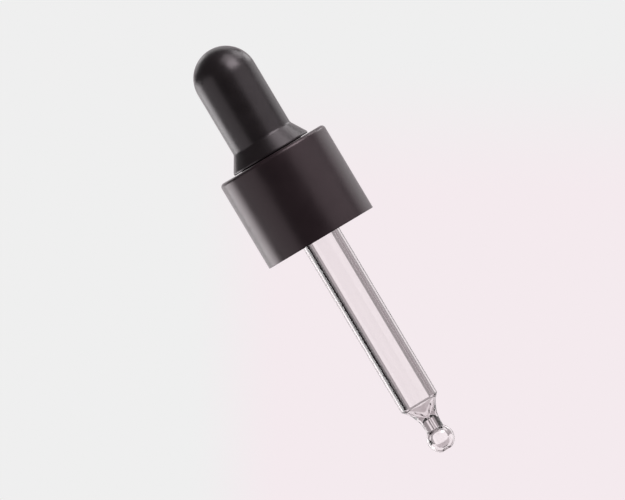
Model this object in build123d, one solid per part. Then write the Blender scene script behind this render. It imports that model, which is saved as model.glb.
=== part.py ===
from build123d import *
import math
import os

# Medicine dropper: a screw cap, a squeeze bulb and a glass pipette, all turned about Z.
# The origin is on the axis at the sealing plane, where the lip of the bottle meets the
# underside of the bulb's flange. +Z points up, towards the bulb. Millimetres throughout.

# ---------------------------------------------------------------- driving dimensions
# Screw cap, for an 18-415 bottle finish
CAP_DIAMETER = 20.2
CAP_HEIGHT = 16.3
CAP_WALL = 1.05
CAP_PANEL = 1.2
CAP_TOP_ROUND = 0.55
CAP_EDGE_ROUND = 0.1  # at the skirt's rim and at the hole in the panel
CAP_MOUTH_CHAMFER = 0.4
CAP_INNER_ROUND = 0.6

# The cap's internal thread
THREAD_PITCH = 3.175
THREAD_TURNS = 1.75
THREAD_DEPTH = 0.9
THREAD_END_DEPTH = 0.08  # what is left of the ridge where it fades out
THREAD_FADE_TURNS = 0.15
THREAD_ROOT_WIDTH = 1.7
THREAD_CREST_WIDTH = 0.7
THREAD_START = 2.6  # height of the ridge's lower end above the rim
THREAD_BITE = 0.25  # how far the ridge's root is sunk into the wall

# Squeeze bulb, one rubber moulding with a groove that holds it in the cap's panel
BULB_DIAMETER = 11.0
BULB_WALL = 1.25
BULB_HEIGHT = 20.4  # above the cap
SHOULDER_DIAMETER = 14.3
SHOULDER_HEIGHT = 3.15  # above the cap
SHOULDER_LIP = 0.35
SHOULDER_BLEND = 1.0
FLANGE_DIAMETER = 16.4
FLANGE_THICKNESS = 1.4
FLANGE_ROUND = 0.35
GROOVE_DIAMETER = 11.5
RUNNING_CLEARANCE = 0.08  # between the groove and the panel, all round
GRIP_TOP = 7.2  # where the sleeve that grips the glass ends
GRIP_CONE = 1.0

# The two parts of the bulb's wall that finger and thumb press
FINGER_WALL_WIDTH = 6.0
FINGER_WALL_BOTTOM = 8.5
FINGER_WALL_TOP = 17.4
FINGER_WALL_KERF = 0.1

# Glass pipette with a hollow ball tip
TUBE_DIAMETER = 7.0
TUBE_BORE = 5.0
TUBE_TOP = 6.9  # above the sealing plane, inside the bulb's sleeve
TUBE_TOP_ROUND = 0.3
TUBE_BELOW_RIM = 32.1  # the straight length under the cap
TUBE_END_ROUND = 0.25
FUNNEL_DROP = 0.1  # where the bore starts to close, under the tube's straight length
FUNNEL_DEPTH = 2.5
FUNNEL_TOP_ROUND = 0.5
FUNNEL_FOOT_ROUND = 0.6
NECK_RADIUS = 1.57
NECK_CURVE = 6.6  # radius of the concave sweep from the tube to the neck
BALL_RADIUS = 2.37
BALL_DROP = 39.1  # the ball's centre under the cap's rim
BALL_BLEND = 0.3
BALL_CAVITY_RADIUS = 1.69
PASSAGE_RADIUS = 0.2  # from the funnel's foot to the hollow of the ball
OPENING_RADIUS = 0.6
OPENING_ROUND = 0.15
TIP_FLAT_RADIUS = 1.0

# ---------------------------------------------------------------- derived levels and radii
cap_radius = CAP_DIAMETER / 2
cap_bore = cap_radius - CAP_WALL
bulb_radius = BULB_DIAMETER / 2
bulb_cavity = bulb_radius - BULB_WALL
shoulder_radius = SHOULDER_DIAMETER / 2
flange_radius = FLANGE_DIAMETER / 2
groove_radius = GROOVE_DIAMETER / 2
tube_radius = TUBE_DIAMETER / 2
bore_radius = TUBE_BORE / 2

panel_under = FLANGE_THICKNESS + RUNNING_CLEARANCE
panel_top = panel_under + CAP_PANEL
rim = panel_top - CAP_HEIGHT
shoulder_base = panel_top + RUNNING_CLEARANCE
shoulder_top = panel_top + SHOULDER_HEIGHT
bulb_top = panel_top + BULB_HEIGHT
dome_centre = bulb_top - bulb_radius
tube_end = rim - TUBE_BELOW_RIM
funnel_top = tube_end - FUNNEL_DROP
funnel_foot = funnel_top - FUNNEL_DEPTH
ball_centre = rim - BALL_DROP


def point(radius, height):
    """A point of a half section, in the XZ plane."""
    return Vector(radius, 0, height)


def arc_about(centre_height, radius, start_angle, end_angle):
    """An arc of a half section about a point on the axis, with its angles in degrees from +X."""

    def place(angle):
        turn = math.radians(angle)
        return point(radius * math.cos(turn), centre_height + radius * math.sin(turn))

    return ThreePointArc(
        place(start_angle), place((start_angle + end_angle) / 2), place(end_angle)
    )


def rounded(face, radius, height, size):
    """The half section with the corner nearest to a point rounded off."""
    corner = face.vertices().sort_by_distance(point(radius, height))[0]
    return fillet(corner, size)


# ---------------------------------------------------------------- screw cap
def cap_shell():
    """The smooth skirt and top panel, with the hole that the bulb's groove runs in."""
    hole = groove_radius + RUNNING_CLEARANCE
    outline = Polyline(
        point(hole, panel_under),
        point(hole, panel_top),
        point(cap_radius, panel_top),
        point(cap_radius, rim),
        point(cap_bore + CAP_MOUTH_CHAMFER, rim),
        point(cap_bore, rim + CAP_MOUTH_CHAMFER),
        point(cap_bore, panel_under),
        close=True,
    )
    face = make_face(outline)
    face = rounded(face, cap_radius, panel_top, CAP_TOP_ROUND)
    face = rounded(face, cap_radius, rim, CAP_EDGE_ROUND)
    face = rounded(face, cap_bore, panel_under, CAP_INNER_ROUND)
    face = rounded(face, hole, panel_top, CAP_EDGE_ROUND)
    return revolve(face, axis=Axis.Z)


def thread_section(helix, place, depth):
    """The ridge's trapezoid at a place along the helix, reaching inwards from the wall."""
    centre = helix.position_at(place)
    outward = Vector(centre.X, centre.Y, 0).normalized()
    along = Vector(0, 0, 1).cross(outward)
    plane = Plane(origin=centre, x_dir=outward, z_dir=along)
    root = THREAD_ROOT_WIDTH / 2
    slope = (THREAD_ROOT_WIDTH - THREAD_CREST_WIDTH) / 2 / THREAD_DEPTH
    crest = root - slope * depth
    outline = Polyline(
        Vector(THREAD_BITE, root, 0),
        Vector(0, root, 0),
        Vector(-depth, crest, 0),
        Vector(-depth, -crest, 0),
        Vector(0, -root, 0),
        Vector(THREAD_BITE, -root, 0),
        close=True,
    )
    return plane * make_face(outline)


def thread_ridge():
    """A right-hand internal thread, which fades into the wall at both ends."""
    helix = Helix(THREAD_PITCH, THREAD_PITCH * THREAD_TURNS, cap_bore)
    helix = Pos(0, 0, rim + THREAD_START) * helix
    fade = THREAD_FADE_TURNS / THREAD_TURNS
    sections = [
        thread_section(helix, 0, THREAD_END_DEPTH),
        thread_section(helix, fade, THREAD_DEPTH),
        thread_section(helix, 1 - fade, THREAD_DEPTH),
        thread_section(helix, 1, THREAD_END_DEPTH),
    ]
    return sweep(sections, path=helix, multisection=True, is_frenet=True)


# ---------------------------------------------------------------- squeeze bulb
def bulb_moulding():
    """Dome, barrel, shoulder, groove, flange and the sleeve on the glass, in one turned solid."""
    outline = [
        arc_about(dome_centre, bulb_radius, 90, 0),
        Polyline(
            point(bulb_radius, dome_centre),
            point(bulb_radius, shoulder_top),
            point(shoulder_radius, shoulder_base + SHOULDER_LIP),
            point(shoulder_radius, shoulder_base),
            point(groove_radius, shoulder_base),
            point(groove_radius, FLANGE_THICKNESS),
            point(flange_radius, FLANGE_THICKNESS),
            point(flange_radius, 0),
            point(tube_radius, 0),
            point(tube_radius, GRIP_TOP),
            point(bulb_cavity, GRIP_TOP + GRIP_CONE),
            point(bulb_cavity, dome_centre),
        ),
        arc_about(dome_centre, bulb_cavity, 0, 90),
        Line(point(0, dome_centre + bulb_cavity), point(0, bulb_top)),
    ]
    face = make_face(outline)
    face = rounded(face, bulb_radius, shoulder_top, SHOULDER_BLEND)
    face = rounded(face, shoulder_radius, shoulder_base + SHOULDER_LIP, SHOULDER_LIP / 2)
    face = rounded(face, shoulder_radius, shoulder_base, SHOULDER_LIP / 2)
    face = rounded(face, flange_radius, 0, FLANGE_ROUND)
    return revolve(face, axis=Axis.Z)


def finger_block(side, kerf):
    """The block of space that holds one finger wall. side is 1 for +X and -1 for -X."""
    middle = (FINGER_WALL_BOTTOM + FINGER_WALL_TOP) / 2
    height = FINGER_WALL_TOP - FINGER_WALL_BOTTOM
    block = Box(BULB_DIAMETER, FINGER_WALL_WIDTH + 2 * kerf, height + 2 * kerf)
    return Pos(side * bulb_radius, 0, middle) * block


# ---------------------------------------------------------------- glass pipette
def pipette():
    """A tube drawn in at its end to a thin neck and a ball. Inside, the bore closes like a
    funnel to a fine passage, which leads into the hollow ball and out at its tip."""
    curve_centre = NECK_RADIUS + NECK_CURVE
    neck_top = tube_end - math.sqrt(NECK_CURVE**2 - (curve_centre - tube_radius) ** 2)
    half_way = (tube_end + neck_top) / 2
    half_way_radius = curve_centre - math.sqrt(NECK_CURVE**2 - (half_way - neck_top) ** 2)
    neck_angle = math.degrees(math.acos(NECK_RADIUS / BALL_RADIUS))
    tip_angle = math.degrees(math.acos(TIP_FLAT_RADIUS / BALL_RADIUS))
    ball_top = ball_centre + math.sqrt(BALL_RADIUS**2 - NECK_RADIUS**2)
    tip = ball_centre - math.sqrt(BALL_RADIUS**2 - TIP_FLAT_RADIUS**2)
    passage_angle = math.degrees(math.acos(PASSAGE_RADIUS / BALL_CAVITY_RADIUS))
    opening_angle = math.degrees(math.acos(OPENING_RADIUS / BALL_CAVITY_RADIUS))
    cavity_top = ball_centre + math.sqrt(BALL_CAVITY_RADIUS**2 - PASSAGE_RADIUS**2)
    cavity_foot = ball_centre - math.sqrt(BALL_CAVITY_RADIUS**2 - OPENING_RADIUS**2)
    outline = [
        Polyline(
            point(bore_radius, TUBE_TOP),
            point(tube_radius, TUBE_TOP),
            point(tube_radius, tube_end),
        ),
        ThreePointArc(
            point(tube_radius, tube_end),
            point(half_way_radius, half_way),
            point(NECK_RADIUS, neck_top),
        ),
        Line(point(NECK_RADIUS, neck_top), point(NECK_RADIUS, ball_top)),
        arc_about(ball_centre, BALL_RADIUS, neck_angle, -tip_angle),
        Polyline(
            point(TIP_FLAT_RADIUS, tip),
            point(OPENING_RADIUS, tip),
            point(OPENING_RADIUS, cavity_foot),
        ),
        arc_about(ball_centre, BALL_CAVITY_RADIUS, -opening_angle, passage_angle),
        Polyline(
            point(PASSAGE_RADIUS, cavity_top),
            point(PASSAGE_RADIUS, funnel_foot),
            point(bore_radius, funnel_top),
            point(bore_radius, TUBE_TOP),
        ),
    ]
    face = make_face(outline)
    face = rounded(face, tube_radius, TUBE_TOP, TUBE_TOP_ROUND)
    face = rounded(face, bore_radius, TUBE_TOP, TUBE_TOP_ROUND)
    face = rounded(face, tube_radius, tube_end, TUBE_END_ROUND)
    face = rounded(face, NECK_RADIUS, ball_top, BALL_BLEND)
    face = rounded(face, TIP_FLAT_RADIUS, tip, OPENING_ROUND)
    face = rounded(face, OPENING_RADIUS, tip, OPENING_ROUND)
    face = rounded(face, PASSAGE_RADIUS, funnel_foot, FUNNEL_FOOT_ROUND)
    face = rounded(face, bore_radius, funnel_top, FUNNEL_TOP_ROUND)
    return revolve(face, axis=Axis.Z)


# ---------------------------------------------------------------- the parts
bulb = bulb_moulding()
windows = finger_block(1, FINGER_WALL_KERF) + finger_block(-1, FINGER_WALL_KERF)
parts = {
    "screw_cap": cap_shell() + thread_ridge(),
    "squeeze_bulb": bulb - windows,
    "bulb_finger_wall_right": bulb & finger_block(1, 0),
    "bulb_finger_wall_left": bulb & finger_block(-1, 0),
    "glass_pipette": pipette(),
}

os.makedirs("parts", exist_ok=True)
for name, shape in parts.items():
    export_step(shape, f"parts/{name}.step")
    print(name, round(shape.volume, 1), "mm3", shape.bounding_box().size)
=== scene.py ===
import math

import bpy
import numpy as np
from mathutils import Matrix, Vector


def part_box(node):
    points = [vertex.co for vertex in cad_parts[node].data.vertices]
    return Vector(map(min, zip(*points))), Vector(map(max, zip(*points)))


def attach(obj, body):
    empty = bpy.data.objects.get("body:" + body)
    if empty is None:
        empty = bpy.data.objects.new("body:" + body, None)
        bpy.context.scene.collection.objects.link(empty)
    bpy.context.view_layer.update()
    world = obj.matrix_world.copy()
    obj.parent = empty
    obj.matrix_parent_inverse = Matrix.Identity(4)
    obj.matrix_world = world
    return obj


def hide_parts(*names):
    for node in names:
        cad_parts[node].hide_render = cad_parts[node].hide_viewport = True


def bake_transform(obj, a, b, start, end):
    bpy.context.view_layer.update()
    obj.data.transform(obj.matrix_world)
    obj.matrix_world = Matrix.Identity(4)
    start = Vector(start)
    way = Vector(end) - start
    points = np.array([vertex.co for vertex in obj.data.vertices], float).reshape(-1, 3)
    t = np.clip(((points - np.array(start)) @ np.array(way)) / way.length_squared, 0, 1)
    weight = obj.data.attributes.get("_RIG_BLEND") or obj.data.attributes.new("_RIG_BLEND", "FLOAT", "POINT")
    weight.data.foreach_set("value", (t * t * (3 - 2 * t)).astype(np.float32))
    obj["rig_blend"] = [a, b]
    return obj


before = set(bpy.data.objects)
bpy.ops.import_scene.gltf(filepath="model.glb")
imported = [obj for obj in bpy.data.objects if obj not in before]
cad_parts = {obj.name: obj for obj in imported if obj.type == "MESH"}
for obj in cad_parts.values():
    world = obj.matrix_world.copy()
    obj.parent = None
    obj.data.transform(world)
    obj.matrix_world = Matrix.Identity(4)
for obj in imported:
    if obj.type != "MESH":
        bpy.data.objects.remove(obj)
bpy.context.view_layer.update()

# The looks of a medicine dropper: a black screw cap, a black rubber squeeze bulb and a
# clear glass pipette with a ball tip. Outlines are in millimetres in the CAD frame, with +Z
# up the axis; MM turns them into metres.

MM = 0.001
SAME_POINT = 1e-4  # places nearer than this are one point
FEWEST_STEPS, MORE_STEPS = 48, 40  # round a full circle, and what 1 mm of rounding adds


# ---------------------------------------------------------------- outlines and lathe work
def unit(vector):
    return vector / np.linalg.norm(vector)


def corner_arc(before, corner, after, rounding, steps_per_turn):
    """The points and outward normals of one rounded corner, where an outline turns."""
    incoming = unit(corner - before)
    outgoing = unit(after - corner)
    cross = incoming[0] * outgoing[1] - incoming[1] * outgoing[0]
    turn = math.atan2(cross, incoming @ outgoing)
    side = math.copysign(1, turn)
    tangent = rounding * math.tan(abs(turn) / 2)
    first_normal = np.array([incoming[1], -incoming[0]])
    centre = corner - incoming * tangent - first_normal * rounding * side
    steps = max(3, math.ceil(abs(turn) / (2 * math.pi) * steps_per_turn))
    points = []
    for step in range(steps + 1):
        angle = turn * step / steps
        cosine, sine = math.cos(angle), math.sin(angle)
        normal = np.array([
            cosine * first_normal[0] - sine * first_normal[1],
            sine * first_normal[0] + cosine * first_normal[1],
        ])
        points.append((centre + side * rounding * normal, normal))
    return points


def outline(corners, closed=True, longest_step=None):
    """A half section from its corners (radius, height, rounding), with the solid on the left.
    Returns its points and its outward normals."""
    places = [np.array(corner[:2], float) for corner in corners]
    points = []
    for index, (radius, height, rounding) in enumerate(corners):
        is_end = not closed and index in (0, len(corners) - 1)
        if is_end:
            neighbour = places[1] - places[0] if index == 0 else places[-1] - places[-2]
            along = unit(neighbour)
            points.append((places[index], np.array([along[1], -along[0]])))
            continue
        steps_per_turn = FEWEST_STEPS + MORE_STEPS * math.sqrt(rounding)
        before, after = places[index - 1], places[(index + 1) % len(places)]
        points += corner_arc(before, places[index], after, rounding, steps_per_turn)
    cleaned = [points[0]]
    for place, normal in points[1:]:
        if np.linalg.norm(place - cleaned[-1][0]) > SAME_POINT:
            cleaned.append((place, normal))
    if closed and np.linalg.norm(cleaned[0][0] - cleaned[-1][0]) < SAME_POINT:
        cleaned.pop()
    if longest_step:
        cleaned = with_short_steps(cleaned, closed, longest_step)
    return cleaned


def with_short_steps(points, closed, longest_step):
    """The outline with more points along its straight stretches."""
    result = []
    pairs = list(zip(points, points[1:] + points[:1]))
    for (place, normal), (next_place, next_normal) in pairs if closed else pairs[:-1]:
        count = math.ceil(np.linalg.norm(next_place - place) / longest_step)
        for step in range(count):
            share = step / count
            result.append((
                place + (next_place - place) * share,
                unit(normal + (next_normal - normal) * share),
            ))
    if not closed:
        result.append(points[-1])
    return result


def tangent_corner(centre_height, radius, start, end):
    """The corner whose rounding, with this radius, is an arc about a point on the axis."""
    middle = math.radians((start + end) / 2)
    reach = radius / math.cos(math.radians(abs(end - start) / 2))
    return (reach * math.cos(middle), centre_height + reach * math.sin(middle))


def tangent_height(centre_height, radius, angle, at_radius):
    """Where the tangent to that arc, at this angle, comes to this distance from the axis."""
    cosine, sine = math.cos(math.radians(angle)), math.sin(math.radians(angle))
    return centre_height + radius * sine + (radius * cosine - at_radius) * cosine / sine


def lathe(name, points, segments, closed=True, start=0.0, turn=360.0, relief=None):
    """A mesh turned about Z from an outline. relief(radius, height, angle) may return a depth
    by which the wall stands inwards there, and the shading follows it."""
    whole = turn >= 360.0
    angles = np.radians(start + turn * np.arange(segments + (0 if whole else 1)) / segments)
    columns = len(angles)
    vertices, normals, rows = [], [], []
    for place, normal in points:
        on_axis = place[0] < SAME_POINT
        row = []
        for angle in angles[:1] if on_axis else angles:
            radius = place[0]
            if relief:
                radius = radius - relief(place[0], place[1], angle)
            row.append(len(vertices))
            cosine, sine = math.cos(angle), math.sin(angle)
            vertices.append((radius * cosine * MM, radius * sine * MM, place[1] * MM))
            normals.append((normal[0] * cosine, normal[0] * sine, normal[1]))
        rows.append(row * columns if on_axis else row)
    faces = []
    row_pairs = list(zip(rows, rows[1:] + rows[:1]))
    for lower, upper in row_pairs if closed else row_pairs[:-1]:
        for column in range(columns if whole else columns - 1):
            beside = (column + 1) % columns
            corners = [lower[column], lower[beside], upper[beside], upper[column]]
            corners = list(dict.fromkeys(corners))
            if len(corners) > 2:
                faces.append(corners)
    mesh = bpy.data.meshes.new(name)
    mesh.from_pydata(vertices, [], faces)
    mesh.shade_smooth()
    if relief:
        mesh.update()
        for vertex in mesh.vertices:
            normals[vertex.index] = tuple(vertex.normal)
    mesh.normals_split_custom_set_from_vertices(normals)
    piece = bpy.data.objects.new(name, mesh)
    bpy.context.scene.collection.objects.link(piece)
    return piece


# ---------------------------------------------------------------- sizes from the frame
cap_low, cap_high = [Vector(corner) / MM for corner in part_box("screw_cap")]
bulb_high = Vector(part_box("squeeze_bulb")[1]) / MM
glass_low, glass_high = [Vector(corner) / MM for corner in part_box("glass_pipette")]

CAP_WALL = 1.05
CAP_PANEL = 1.2
CAP_TOP_ROUND = 0.7
CLEARANCE = 0.08
cap_radius = cap_high.x
cap_bore = cap_radius - CAP_WALL
rim = cap_low.z
panel_top = cap_high.z
panel_under = panel_top - CAP_PANEL

BULB_RADIUS = 5.5
BULB_WALL = 1.25
flange_radius = bulb_high.x
flange_top = panel_under - CLEARANCE
GROOVE_RADIUS = 5.75
SHOULDER_RADIUS = 7.15
SHOULDER_HEIGHT = 3.15
SHOULDER_LIP = 0.35
SLEEVE_TOP = 7.2
CAVITY_FLOOR = 8.2
shoulder_base = panel_top + CLEARANCE
shoulder_top = panel_top + SHOULDER_HEIGHT
bulb_top = bulb_high.z
dome_centre = bulb_top - BULB_RADIUS

tube_radius = glass_high.x
BORE_RADIUS = 2.5
tube_top = glass_high.z
tip = glass_low.z


# ---------------------------------------------------------------- screw cap
THREAD_PITCH = 3.175
THREAD_TURNS = 1.75
THREAD_DEPTH = 0.9
THREAD_FADE = 0.15
THREAD_ROOT = 1.7
THREAD_CREST = 0.7
THREAD_START = 2.6
ON_THE_WALL = 0.01  # how near the bore a point counts as part of its wall
RIM_BEVEL_WIDTH, RIM_BEVEL_HEIGHT = 0.35, 0.4


def thread_depth(radius, height, angle):
    """How far the internal thread stands in from the wall at a place on it."""
    if abs(radius - cap_bore) > ON_THE_WALL:
        return 0.0
    depth = 0.0
    for whole_turn in range(math.ceil(THREAD_TURNS)):
        along = whole_turn + angle / (2 * math.pi) % 1
        if along > THREAD_TURNS:
            continue
        centre = rim + THREAD_START + along * THREAD_PITCH
        flank = (THREAD_ROOT / 2 - abs(height - centre)) / (THREAD_ROOT - THREAD_CREST) * 2
        fade = min(along, THREAD_TURNS - along) / THREAD_FADE
        depth = max(depth, THREAD_DEPTH * min(1, max(0, flank)) * min(1, max(0, fade)))
    return depth


def screw_cap():
    hole = GROOVE_RADIUS + CLEARANCE
    points = outline([
        (hole, panel_under, 0.1),
        (cap_bore, panel_under, 0.6),
        (cap_bore, rim + RIM_BEVEL_HEIGHT, 0.15),
        (cap_bore + RIM_BEVEL_WIDTH, rim, 0.12),
        (cap_radius, rim, 0.12),
        (cap_radius, panel_top, CAP_TOP_ROUND),
        (hole, panel_top, 0.1),
    ], longest_step=0.15)
    piece = lathe("cap_moulding", points, segments=256, relief=thread_depth)
    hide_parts("screw_cap")
    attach(piece, "cap")
    piece.data.materials.append(black_plastic())


# ---------------------------------------------------------------- squeeze bulb
SQUEEZE_START, SQUEEZE_FULL_FROM, SQUEEZE_FULL_TO = 5.6, 10.5, 15.5


def smooth_rise(value, start, end):
    """0 up to the start and 1 from the end, with a smooth way between."""
    share = min(1, max(0, (value - start) / (end - start)))
    return share * share * (3 - 2 * share)


def keep_ends_still(piece):
    """Lets the squeeze fade out towards the flare and towards the top of the dome."""
    weights = piece.data.attributes["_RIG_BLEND"].data
    for vertex in piece.data.vertices:
        height = vertex.co.z / MM
        rise = smooth_rise(height, SQUEEZE_START, SQUEEZE_FULL_FROM)
        fall = 1 - smooth_rise(height, SQUEEZE_FULL_TO, bulb_top)
        weights[vertex.index].value *= rise * fall


def bulb_half(name, start, wall_body, side):
    """The half of the bulb's skin that the finger wall on this side pushes in."""
    cavity = BULB_RADIUS - BULB_WALL
    points = outline([
        (0, dome_centre + cavity, 0),
        (cavity, dome_centre + cavity, cavity),
        (cavity, CAVITY_FLOOR, 0.5),
        (tube_radius, SLEEVE_TOP, 0.3),
        (tube_radius, 0, 0.1),
        (flange_radius, 0, 0.35),
        (flange_radius, flange_top, 0.15),
        (GROOVE_RADIUS, flange_top, 0.1),
        (GROOVE_RADIUS, shoulder_base, 0.1),
        (SHOULDER_RADIUS, shoulder_base, 0.17),
        (SHOULDER_RADIUS, shoulder_base + SHOULDER_LIP, 0.17),
        (BULB_RADIUS, shoulder_top, 1.0),
        (BULB_RADIUS, bulb_top, BULB_RADIUS),
        (0, bulb_top, 0),
    ], closed=False, longest_step=0.3)
    piece = lathe(name, points, segments=96, closed=False, start=start, turn=180.0)
    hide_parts("squeeze_bulb", f"bulb_{wall_body}")
    edge = (side * BULB_RADIUS * MM, 0, 0)
    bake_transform(piece, "bulb", wall_body, start=(0, 0, 0), end=edge)
    keep_ends_still(piece)
    piece.data.materials.append(black_rubber())


# ---------------------------------------------------------------- glass pipette
def glass_pipette():
    """A tube drawn in to a neck and a hollow ball, with a fine passage from its bore."""
    tube_end = rim - 32.1
    funnel_top = tube_end - 0.1
    funnel_foot = tube_end - 2.6
    ball_centre = rim - 39.1
    ball_radius = 2.37
    neck, neck_sweep = 1.57, 6.2
    tip_flat = 1.0
    ball_start, ball_end = 44.0, -62.0
    cavity_radius = 1.69
    cavity_start, cavity_end = 80.0, -66.0
    passage, opening = 0.2, 0.6
    cavity_top = tangent_height(ball_centre, cavity_radius, cavity_start, passage)
    cavity_foot = tangent_height(ball_centre, cavity_radius, cavity_end, opening)
    lean = math.radians(ball_start)
    slide = (ball_radius * math.cos(lean) - neck) / math.sin(lean)
    neck_foot = ball_centre + ball_radius * math.sin(lean) + slide * math.cos(lean)
    points = outline([
        (opening, tip, 0.15),
        (tip_flat, tip, 0.15),
        (*tangent_corner(ball_centre, ball_radius, ball_end, ball_start), ball_radius),
        (neck, neck_foot, 0.3),
        (neck, tube_end - (tube_radius - neck), neck_sweep),
        (tube_radius, tube_end, 0.25),
        (tube_radius, tube_top, 0.3),
        (BORE_RADIUS, tube_top, 0.3),
        (BORE_RADIUS, funnel_top, 0.5),
        (passage, funnel_foot, 0.6),
        (passage, cavity_top, 0.05),
        (*tangent_corner(ball_centre, cavity_radius, cavity_start, cavity_end), cavity_radius),
        (opening, cavity_foot, 0.05),
    ], longest_step=2.0)
    piece = lathe("pipette_glass", points, segments=256)
    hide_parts("glass_pipette")
    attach(piece, "bulb")
    piece.data.materials.append(clear_glass())


# ---------------------------------------------------------------- materials
def new_material(name):
    material = bpy.data.materials.new(name)
    material.use_nodes = True
    return material, material.node_tree.nodes, material.node_tree.links


def vector_math(nodes, links, operation, vector, fixed):
    """A vector from a node, worked on with a fixed one."""
    work = nodes.new("ShaderNodeVectorMath")
    work.operation = operation
    work.inputs[1].default_value = fixed
    links.new(vector, work.inputs[0])
    return work.outputs


def combined(nodes, links, operation, first, second):
    """Two values from nodes, made into one."""
    work = nodes.new("ShaderNodeMath")
    work.operation = operation
    links.new(first, work.inputs[0])
    links.new(second, work.inputs[1])
    return work.outputs[0]


def smooth_step(nodes, links, value, start, end):
    """A smooth rise from 0 to 1 while a value goes from the start to the end."""
    rise = nodes.new("ShaderNodeMapRange")
    rise.interpolation_type = "SMOOTHSTEP"
    rise.inputs["From Min"].default_value = start
    rise.inputs["From Max"].default_value = end
    links.new(value, rise.inputs["Value"])
    return rise.outputs["Result"]


def noise(nodes, links, scale, detail=2.0, stretch=(1, 1, 1)):
    """Noise fixed to the piece, with about this many cells in a metre."""
    place = nodes.new("ShaderNodeTexCoord").outputs["Object"]
    stretched = vector_math(nodes, links, "MULTIPLY", place, stretch)["Vector"]
    texture = nodes.new("ShaderNodeTexNoise")
    texture.inputs["Scale"].default_value = scale
    texture.inputs["Detail"].default_value = detail
    links.new(stretched, texture.inputs["Vector"])
    return texture.outputs["Fac"]


NOISE_LOW, NOISE_HIGH = 0.3, 0.7  # most of a noise lies between these


def spread(nodes, links, value, low, high):
    """The middle part of a noise, spread out from low to high."""
    span = nodes.new("ShaderNodeMapRange")
    span.inputs["From Min"].default_value = NOISE_LOW
    span.inputs["From Max"].default_value = NOISE_HIGH
    span.inputs["To Min"].default_value = low
    span.inputs["To Max"].default_value = high
    links.new(value, span.inputs["Value"])
    return span.outputs["Result"]


def mixed(nodes, links, factor, first, second):
    mix = nodes.new("ShaderNodeMix")
    mix.data_type = "RGBA"
    mix.inputs["A"].default_value = (*first, 1)
    mix.inputs["B"].default_value = (*second, 1)
    links.new(factor, mix.inputs["Factor"])
    return mix.outputs["Result"]


def bumped(nodes, links, height, depth, strength):
    bump = nodes.new("ShaderNodeBump")
    bump.inputs["Strength"].default_value = strength
    bump.inputs["Distance"].default_value = depth
    links.new(height, bump.inputs["Height"])
    return bump.outputs["Normal"]


def black_plastic():
    """Moulded plastic: a fine even grain, and a gloss that wanders a little."""
    material, nodes, links = new_material("satin_black_plastic")
    shader = nodes["Principled BSDF"]
    patches = noise(nodes, links, 260)
    tone = spread(nodes, links, patches, low=0, high=1)
    # The faint pink cast of both colours is painted reflection of the pink backdrop; the spread between them
    # is the plastic's own uneven tone.
    colour = mixed(nodes, links, tone, (0.018, 0.011, 0.0135), (0.023, 0.014, 0.017))
    links.new(colour, shader.inputs["Base Color"])
    links.new(spread(nodes, links, patches, low=0.29, high=0.34), shader.inputs["Roughness"])
    grain = bumped(nodes, links, noise(nodes, links, 7000), depth=0.00003, strength=0.05)
    links.new(grain, shader.inputs["Normal"])
    # The pink specular tint is painted reflection of the pink backdrop.
    shader.inputs["Specular Tint"].default_value = (1.0, 0.8, 0.86, 1)
    return material


def black_rubber():
    """Soft rubber: smooth, with faint cloudy patches and a very shallow unevenness."""
    material, nodes, links = new_material("satin_black_rubber")
    shader = nodes["Principled BSDF"]
    patches = noise(nodes, links, 420, detail=4.0)
    tone = spread(nodes, links, patches, low=0, high=1)
    # The faint pink cast of both colours is painted reflection of the pink backdrop; the spread between them
    # is the rubber's own uneven tone.
    colour = mixed(nodes, links, tone, (0.013, 0.0098, 0.0108), (0.016, 0.012, 0.0134))
    links.new(colour, shader.inputs["Base Color"])
    links.new(spread(nodes, links, patches, low=0.29, high=0.36), shader.inputs["Roughness"])
    skin = bumped(nodes, links, noise(nodes, links, 3500), depth=0.00004, strength=0.05)
    links.new(skin, shader.inputs["Normal"])
    # The pink specular tint is painted reflection of the pink backdrop.
    shader.inputs["Specular Tint"].default_value = (1.0, 0.88, 0.94, 1)
    return material


def clear_glass():
    """Clear glass, greyer where it is thick, with faint streaks along the drawn tube."""
    material, nodes, links = new_material("clear_glass")
    shader = nodes["Principled BSDF"]
    streaks = noise(nodes, links, 900, stretch=(1, 1, 0.04))
    tone = spread(nodes, links, streaks, low=0, high=1)
    colour = mixed(nodes, links, tone, (0.955, 0.95, 0.95), (0.985, 0.98, 0.98))
    links.new(colour, shader.inputs["Base Color"])
    normal = bumped(nodes, links, streaks, depth=0.00001, strength=0.03)
    links.new(normal, shader.inputs["Normal"])
    shader.inputs["Roughness"].default_value = 0.0
    shader.inputs["IOR"].default_value = 1.5
    shader.inputs["Transmission Weight"].default_value = 1.0
    depth = nodes.new("ShaderNodeVolumeAbsorption")
    depth.inputs["Color"].default_value = (0.9, 0.888, 0.892, 1)
    depth.inputs["Density"].default_value = 1000.0
    links.new(depth.outputs["Volume"], nodes["Material Output"].inputs["Volume"])
    return material


# ---------------------------------------------------------------- stage, lights, camera
STUDIO_MIDDLE = Vector((0, 0, -16)) * MM
LEAN = math.radians(30.8)
GREY = (0.863, 0.863, 0.863)
PINK = (0.905, 0.823, 0.855)
BEHIND_GLASS = (1.12, 1.035, 1.065)
IN_GLOSS = (0.08, 0.08, 0.08)
CARD_TINT = (1, 0.88, 0.92)


def studio_place(azimuth, elevation, distance):
    """A place in the studio. Azimuth 0 is in front, towards -Y, and 90 is on the right."""
    around, up = math.radians(azimuth), math.radians(elevation)
    level = math.cos(up)
    direction = Vector((level * math.sin(around), -level * math.cos(around), math.sin(up)))
    return STUDIO_MIDDLE + direction * distance


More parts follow.
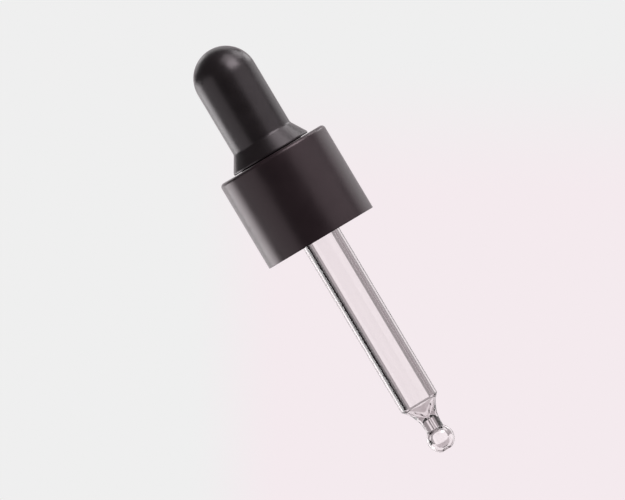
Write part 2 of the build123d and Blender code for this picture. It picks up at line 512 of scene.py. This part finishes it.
def glow(name, colour):
    """A surface that gives off this colour, and the nodes to vary it."""
    material, nodes, links = new_material(name)
    nodes.remove(nodes["Principled BSDF"])
    light = nodes.new("ShaderNodeEmission")
    light.inputs["Color"].default_value = (*colour, 1)
    links.new(light.outputs["Emission"], nodes["Material Output"].inputs["Surface"])
    return material, light


def unseen_by(piece, *kinds):
    """Hides a piece from these kinds of ray."""
    for kind in kinds:
        setattr(piece, f"visible_{kind}", False)


def rectangle(name, width, height, material):
    """A flat rectangle about the origin, in metres, that is part of the stage."""
    mesh = bpy.data.meshes.new(name)
    corners = [(-1, -1), (1, -1), (1, 1), (-1, 1)]
    mesh.from_pydata([(x * width / 2, y * height / 2, 0) for x, y in corners], [], [(0, 1, 2, 3)])
    mesh.materials.append(material)
    piece = bpy.data.objects.new(name, mesh)
    bpy.context.scene.collection.objects.link(piece)
    return piece


def board(name, place, width, height, material):
    """A rectangle that faces the middle of the studio."""
    piece = rectangle(name, width, height, material)
    turn = (STUDIO_MIDDLE - place).to_track_quat("Z", "Y").to_matrix().to_4x4()
    piece.matrix_world = Matrix.Translation(place) @ turn
    return piece


def painted_shade_card(name, place, width, height, shade):
    """A glowing grey card of painted shade that only the glass shows, by looking through it: it paints
    darker bands into what the glass refracts.
    """
    material = glow(name, [shade * part for part in CARD_TINT])[0]
    piece = board(name, place, width, height, material)
    unseen_by(piece, "camera", "glossy", "diffuse", "shadow")


def softbox(name, place, width, height, brightness):
    """A soft light whose face has this brightness, seen only in gloss."""
    light = bpy.data.lights.new(name, "AREA")
    light.shape = "RECTANGLE"
    light.size, light.size_y = width, height
    light.energy = brightness * 4 * width * height
    piece = bpy.data.objects.new(name, light)
    direction = STUDIO_MIDDLE - place
    turn = direction.to_track_quat("-Z", "Y").to_matrix().to_4x4()
    piece.matrix_world = Matrix.Translation(place) @ turn
    bpy.context.scene.collection.objects.link(piece)
    unseen_by(piece, "camera", "transmission")


def backdrop():
    """A pale wall behind, faintly pink towards the lower right and at its edges."""
    material, light = glow("pale_backdrop", GREY)
    nodes, links = material.node_tree.nodes, material.node_tree.links
    position = nodes.new("ShaderNodeNewGeometry").outputs["Position"]
    across = (math.cos(LEAN), 0, -math.sin(LEAN))
    down = (-math.sin(LEAN), 0, -math.cos(LEAN))
    rises = []
    for way, start, end in ((across, -0.016, 0.001), (down, -0.020, 0.006)):
        along = vector_math(nodes, links, "DOT_PRODUCT", position, way)["Value"]
        rises.append(smooth_step(nodes, links, along, start, end))
    lower_right = combined(nodes, links, "MULTIPLY", *rises)
    middle = STUDIO_MIDDLE + Vector((0, 0.40, 0))
    outwards = vector_math(nodes, links, "DISTANCE", position, middle)["Value"]
    edge = smooth_step(nodes, links, outwards, 0.075, 0.17)
    pinkness = combined(nodes, links, "MAXIMUM", lower_right, edge)
    colour = mixed(nodes, links, pinkness, GREY, PINK)
    links.new(colour, light.inputs["Color"])
    wall = board("backdrop", middle, 0.50, 0.50, material)
    unseen_by(wall, "transmission")


def pale_floor():
    """A plain level floor, well under the dropper, that only the camera sees."""
    material = glow("pale_floor", PINK)[0]
    floor = rectangle("floor", 8.0, 8.0, material)
    floor.location.z = -0.45
    unseen_by(floor, "glossy", "diffuse", "transmission")


def studio_world():
    """Pale where it is looked at or looked through, and dim in the black parts' gloss."""
    world = bpy.data.worlds.new("studio")
    bpy.context.scene.world = world
    world.use_nodes = True
    nodes, links = world.node_tree.nodes, world.node_tree.links
    path = nodes.new("ShaderNodeLightPath")
    through = mixed(nodes, links, path.outputs["Is Transmission Ray"], IN_GLOSS, BEHIND_GLASS)
    direct = nodes.new("ShaderNodeMix")
    direct.data_type = "RGBA"
    direct.inputs["B"].default_value = (*PINK, 1)
    links.new(through, direct.inputs["A"])
    links.new(path.outputs["Is Camera Ray"], direct.inputs["Factor"])
    links.new(direct.outputs["Result"], nodes["Background"].inputs["Color"])


# Each row of these is an azimuth and an elevation in degrees, then a distance, a width and a
# height in metres, and last a brightness or a shade.
SOFTBOXES = {
    "left_panel": (-66, 0, 0.45, 0.40, 0.60, 0.70),
    "left_back_softbox": (-121, -6, 0.45, 0.28, 0.42, 3.1),
    "left_far_softbox": (-150, -6, 0.36, 0.10, 0.34, 0.7),
    "right_panel": (60, -6, 0.42, 0.52, 0.58, 0.62),
    "right_back_softbox": (124, -8, 0.42, 0.34, 0.42, 0.9),
    "key_softbox": (54, 34, 0.42, 0.27, 0.17, 5.5),
    "top_right_softbox": (64, 55, 0.42, 0.26, 0.18, 2.4),
    "right_back_high_softbox": (114, 36, 0.42, 0.22, 0.14, 2.6),
    "right_edge_softbox": (130, 18, 0.42, 0.20, 0.10, 2.0),
    "left_edge_softbox": (-155, 37, 0.42, 0.20, 0.12, 1.0),
    "top_back_softbox": (172, 44, 0.42, 0.36, 0.16, 0.9),
}
# Painted shade for the glass: glowing cards, seen only through it, that paint its dark and grey bands.
PAINTED_SHADE_CARDS = {
    "dark_card": (-131, 0, 0.36, 0.35, 0.13, 0.03),
    "left_grey_card": (-162, 0, 0.35, 0.063, 0.13, 0.42),
    "right_grey_card": (154.5, 0, 0.36, 0.12, 0.13, 0.36),
    "right_far_grey_card": (125, 0, 0.36, 0.262, 0.13, 0.47),
    "dark_band_above": (180, 13, 0.36, 0.60, 0.05, 0.01),
    "grey_ceiling": (180, 39, 0.36, 0.60, 0.27, 0.5),
    "grey_card_below": (180, -22, 0.36, 0.22, 0.13, 0.64),
}


def studio():
    backdrop()
    pale_floor()
    studio_world()
    for make, rows in ((softbox, SOFTBOXES), (painted_shade_card, PAINTED_SHADE_CARDS)):
        for name, (azimuth, elevation, distance, width, height, strength) in rows.items():
            make(name, studio_place(azimuth, elevation, distance), width, height, strength)


CAMERA_DISTANCE, PICTURE_WIDTH = 0.3, 0.10486


def camera():
    """Level with the dropper, from the front and far off, and rolled so that it leans left."""
    aim = Vector((-2.285, 0, -14.58)) * MM
    right = Vector((math.cos(LEAN), 0, -math.sin(LEAN)))
    up = Vector((math.sin(LEAN), 0, math.cos(LEAN)))
    back = Vector((0, -1, 0))
    place = aim + back * CAMERA_DISTANCE
    data = bpy.data.cameras.new("camera")
    data.type = "ORTHO"
    data.ortho_scale = PICTURE_WIDTH
    piece = bpy.data.objects.new("camera", data)
    rotation = Matrix((right, up, back)).transposed().to_4x4()
    piece.matrix_world = Matrix.Translation(place) @ rotation
    bpy.context.scene.collection.objects.link(piece)
    bpy.context.scene.camera = piece


screw_cap()
bulb_half("bulb_right_half", -90.0, "finger_wall_right", 1)
bulb_half("bulb_left_half", 90.0, "finger_wall_left", -1)
glass_pipette()
studio()
camera()
bpy.context.scene.view_settings.view_transform = "Standard"
